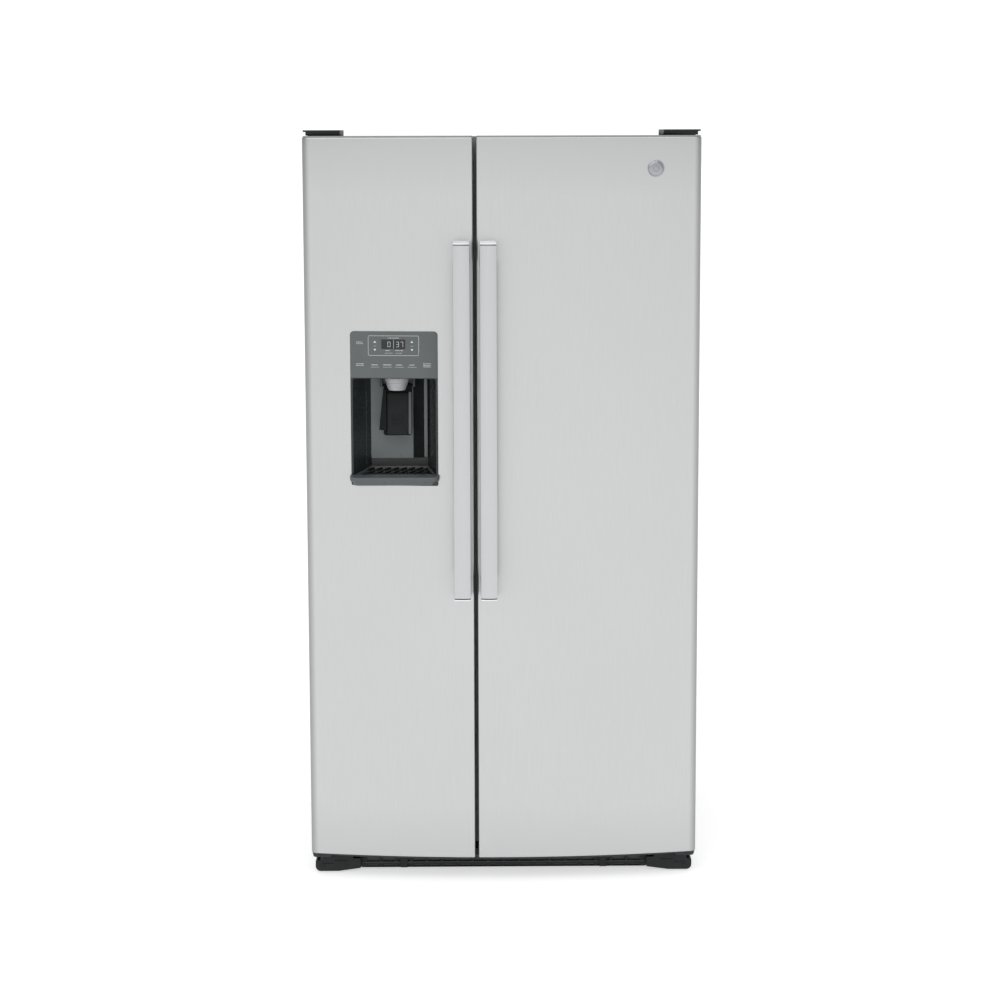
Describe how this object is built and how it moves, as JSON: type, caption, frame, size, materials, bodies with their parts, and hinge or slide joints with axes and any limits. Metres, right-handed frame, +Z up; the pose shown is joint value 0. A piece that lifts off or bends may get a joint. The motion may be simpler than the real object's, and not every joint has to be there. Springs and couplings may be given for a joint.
{
  "type": "side by side refrigerator",
  "caption": "Side by side refrigerator: bowed steel doors with upright bar handles, ice and water dispenser in the freezer door, shelves, bins and drawers inside.",
  "frame": {"origin": "middle of the footprint, on the floor", "axes": "+X to the right as seen from the front, +Y to the back, +Z up"},
  "size_m": [0.908, 0.886, 1.75],
  "materials": {
    "case_paint": "matte",
    "rear_steel": "satin",
    "foam": "matte",
    "liner_plastic": "satin",
    "base_steel": "satin",
    "trim_plastic": "satin",
    "hinge_steel": "satin",
    "zinc_steel": "satin",
    "compressor_paint": "gloss",
    "coil_aluminium": "satin",
    "motor_plastic": "satin",
    "valve_plastic": "satin",
    "inlet_plastic": "matte",
    "white_plastic": "satin",
    "shelf_wire": "gloss",
    "shelf_glass": "polished",
    "fan_plastic": "satin",
    "bucket_plastic": "satin",
    "auger_steel": "polished",
    "arm_wire": "satin",
    "clear_plastic": "gloss",
    "slider_plastic": "satin",
    "roller_plastic": "satin",
    "stainless": "satin",
    "gasket_rubber": "matte",
    "cap_plastic": "satin",
    "handle_metal": "satin",
    "dispenser_plastic": "gloss",
    "panel_plastic": "satin",
    "display_black": "gloss",
    "spout_metal": "satin",
    "tray_plastic": "satin",
    "paddle_plastic": "satin",
    "flap_plastic": "satin",
    "badge_metal": "satin"
  },
  "bodies": {
    "cabinet": {"outer_case": "case_paint", "rear_panel": "rear_steel", "cabinet_foam": "foam", "freezer_liner": "liner_plastic", "fresh_food_liner": "liner_plastic", "base_frame": "base_steel", "base_grille": "trim_plastic", "leg_covers": "trim_plastic", "top_hinges": "hinge_steel", "bottom_hinges": "hinge_steel", "hinge_covers": "trim_plastic", "leveling_legs": "zinc_steel", "compressor": "compressor_paint", "condenser_coil": "coil_aluminium", "fan_motors": "motor_plastic", "machine_cover": "rear_steel", "water_valve": "valve_plastic", "power_inlet": "inlet_plastic", "evaporator_coil": "coil_aluminium", "evaporator_cover": "white_plastic", "ice_maker": "white_plastic", "freezer_shelves": "shelf_wire", "glass_shelves": "shelf_glass", "crisper_frame": "white_plastic", "filter_housing": "white_plastic"},
    "freezer_door": {"freezer_door_skin": "stainless", "freezer_door_foam": "foam", "freezer_door_liner": "liner_plastic", "freezer_door_gasket": "gasket_rubber", "freezer_door_caps": "cap_plastic", "freezer_handle": "handle_metal", "freezer_door_bins": "clear_plastic", "dispenser_housing": "dispenser_plastic", "control_panel": "panel_plastic", "display_window": "display_black", "dispenser_nozzle": "spout_metal"},
    "fresh_door": {"fresh_door_skin": "stainless", "fresh_door_foam": "foam", "fresh_door_liner": "liner_plastic", "fresh_door_gasket": "gasket_rubber", "fresh_door_caps": "cap_plastic", "fresh_handle": "handle_metal", "fresh_door_bins": "clear_plastic", "badge": "badge_metal"},
    "condenser_fan": {"condenser_fan": "fan_plastic"},
    "evaporator_fan": {"evaporator_fan": "fan_plastic"},
    "ice_bucket": {"ice_bucket": "bucket_plastic"},
    "ice_auger": {"ice_auger": "auger_steel"},
    "icemaker_arm": {"icemaker_arm": "arm_wire"},
    "freezer_basket": {"freezer_basket": "shelf_wire"},
    "crisper_upper": {"crisper_upper": "clear_plastic"},
    "crisper_lower": {"crisper_lower": "clear_plastic"},
    "humidity_slider": {"humidity_slider": "slider_plastic"},
    "water_filter": {"water_filter": "white_plastic"},
    "rear_roller_left": {"rear_roller_left": "roller_plastic"},
    "rear_roller_right": {"rear_roller_right": "roller_plastic"},
    "drip_tray": {"drip_tray": "tray_plastic"},
    "dispenser_paddle": {"dispenser_paddle": "paddle_plastic"},
    "ice_chute_flap": {"ice_chute_flap": "flap_plastic"},
    "dairy_flap": {"dairy_flap": "clear_plastic"}
  },
  "joints": [
    {"name": "freezer_door_hinge", "type": "hinge", "parent": "cabinet", "child": "freezer_door", "pos_m": [-0.434, -0.325, 0.9], "axis": [0, 0, -1], "range_deg": [0, 125]},
    {"name": "fresh_door_hinge", "type": "hinge", "parent": "cabinet", "child": "fresh_door", "pos_m": [0.434, -0.325, 0.9], "axis": [0, 0, 1], "range_deg": [0, 125]},
    {"name": "paddle_hinge", "type": "hinge", "parent": "freezer_door", "child": "dispenser_paddle", "pos_m": [-0.243, -0.296, 1.162], "axis": [1, 0, 0], "range_deg": [0, 16], "stiffness_Nm_per_rad": 0.6},
    {"name": "chute_flap_hinge", "type": "hinge", "parent": "freezer_door", "child": "ice_chute_flap", "pos_m": [-0.249, -0.31, 1.275], "axis": [1, 0, 0], "range_deg": [0, 64]},
    {"name": "drip_tray_slide", "type": "slide", "parent": "freezer_door", "child": "drip_tray", "axis": [0, -1, 0], "range_m": [0, 0.08]},
    {"name": "dairy_flap_hinge", "type": "hinge", "parent": "fresh_door", "child": "dairy_flap", "pos_m": [0.188, -0.176, 1.545], "axis": [1, 0, 0], "range_deg": [0, 80]},
    {"name": "ice_bucket_slide", "type": "slide", "parent": "cabinet", "child": "ice_bucket", "axis": [0, -1, 0], "range_m": [0, 0.085]},
    {"name": "auger_spin", "type": "hinge", "parent": "ice_bucket", "child": "ice_auger", "pos_m": [-0.243, 0, 1.387], "axis": [0, 1, 0], "continuous": true},
    {"name": "icemaker_arm_hinge", "type": "hinge", "parent": "cabinet", "child": "icemaker_arm", "pos_m": [-0.152, 0.112, 1.611], "axis": [-1, 0, 0], "range_deg": [0, 30]},
    {"name": "freezer_basket_slide", "type": "slide", "parent": "cabinet", "child": "freezer_basket", "axis": [0, -1, 0], "range_m": [0, 0.075]},
    {"name": "crisper_upper_slide", "type": "slide", "parent": "cabinet", "child": "crisper_upper", "axis": [0, -1, 0], "range_m": [0, 0.075]},
    {"name": "crisper_lower_slide", "type": "slide", "parent": "cabinet", "child": "crisper_lower", "axis": [0, -1, 0], "range_m": [0, 0.075]},
    {"name": "humidity_slide", "type": "slide", "parent": "cabinet", "child": "humidity_slider", "axis": [1, 0, 0], "range_m": [0, 0.036]},
    {"name": "filter_twist", "type": "hinge", "parent": "cabinet", "child": "water_filter", "pos_m": [0.352, 0.27, 1.615], "axis": [0, 0, 1], "range_deg": [0, 90]},
    {"name": "condenser_fan_spin", "type": "hinge", "parent": "cabinet", "child": "condenser_fan", "pos_m": [-0.02, 0.32, 0.155], "axis": [1, 0, 0], "continuous": true},
    {"name": "evaporator_fan_spin", "type": "hinge", "parent": "cabinet", "child": "evaporator_fan", "pos_m": [-0.243, 0.338, 1.18], "axis": [0, 1, 0], "continuous": true},
    {"name": "roller_left_spin", "type": "hinge", "parent": "cabinet", "child": "rear_roller_left", "pos_m": [-0.415, 0.39, 0.02], "axis": [1, 0, 0], "continuous": true},
    {"name": "roller_right_spin", "type": "hinge", "parent": "cabinet", "child": "rear_roller_right", "pos_m": [0.415, 0.39, 0.02], "axis": [1, 0, 0], "continuous": true}
  ],
  "couplings": [
    {"joint": "chute_flap_hinge", "follows": "paddle_hinge", "ratio": 4}
  ]
}
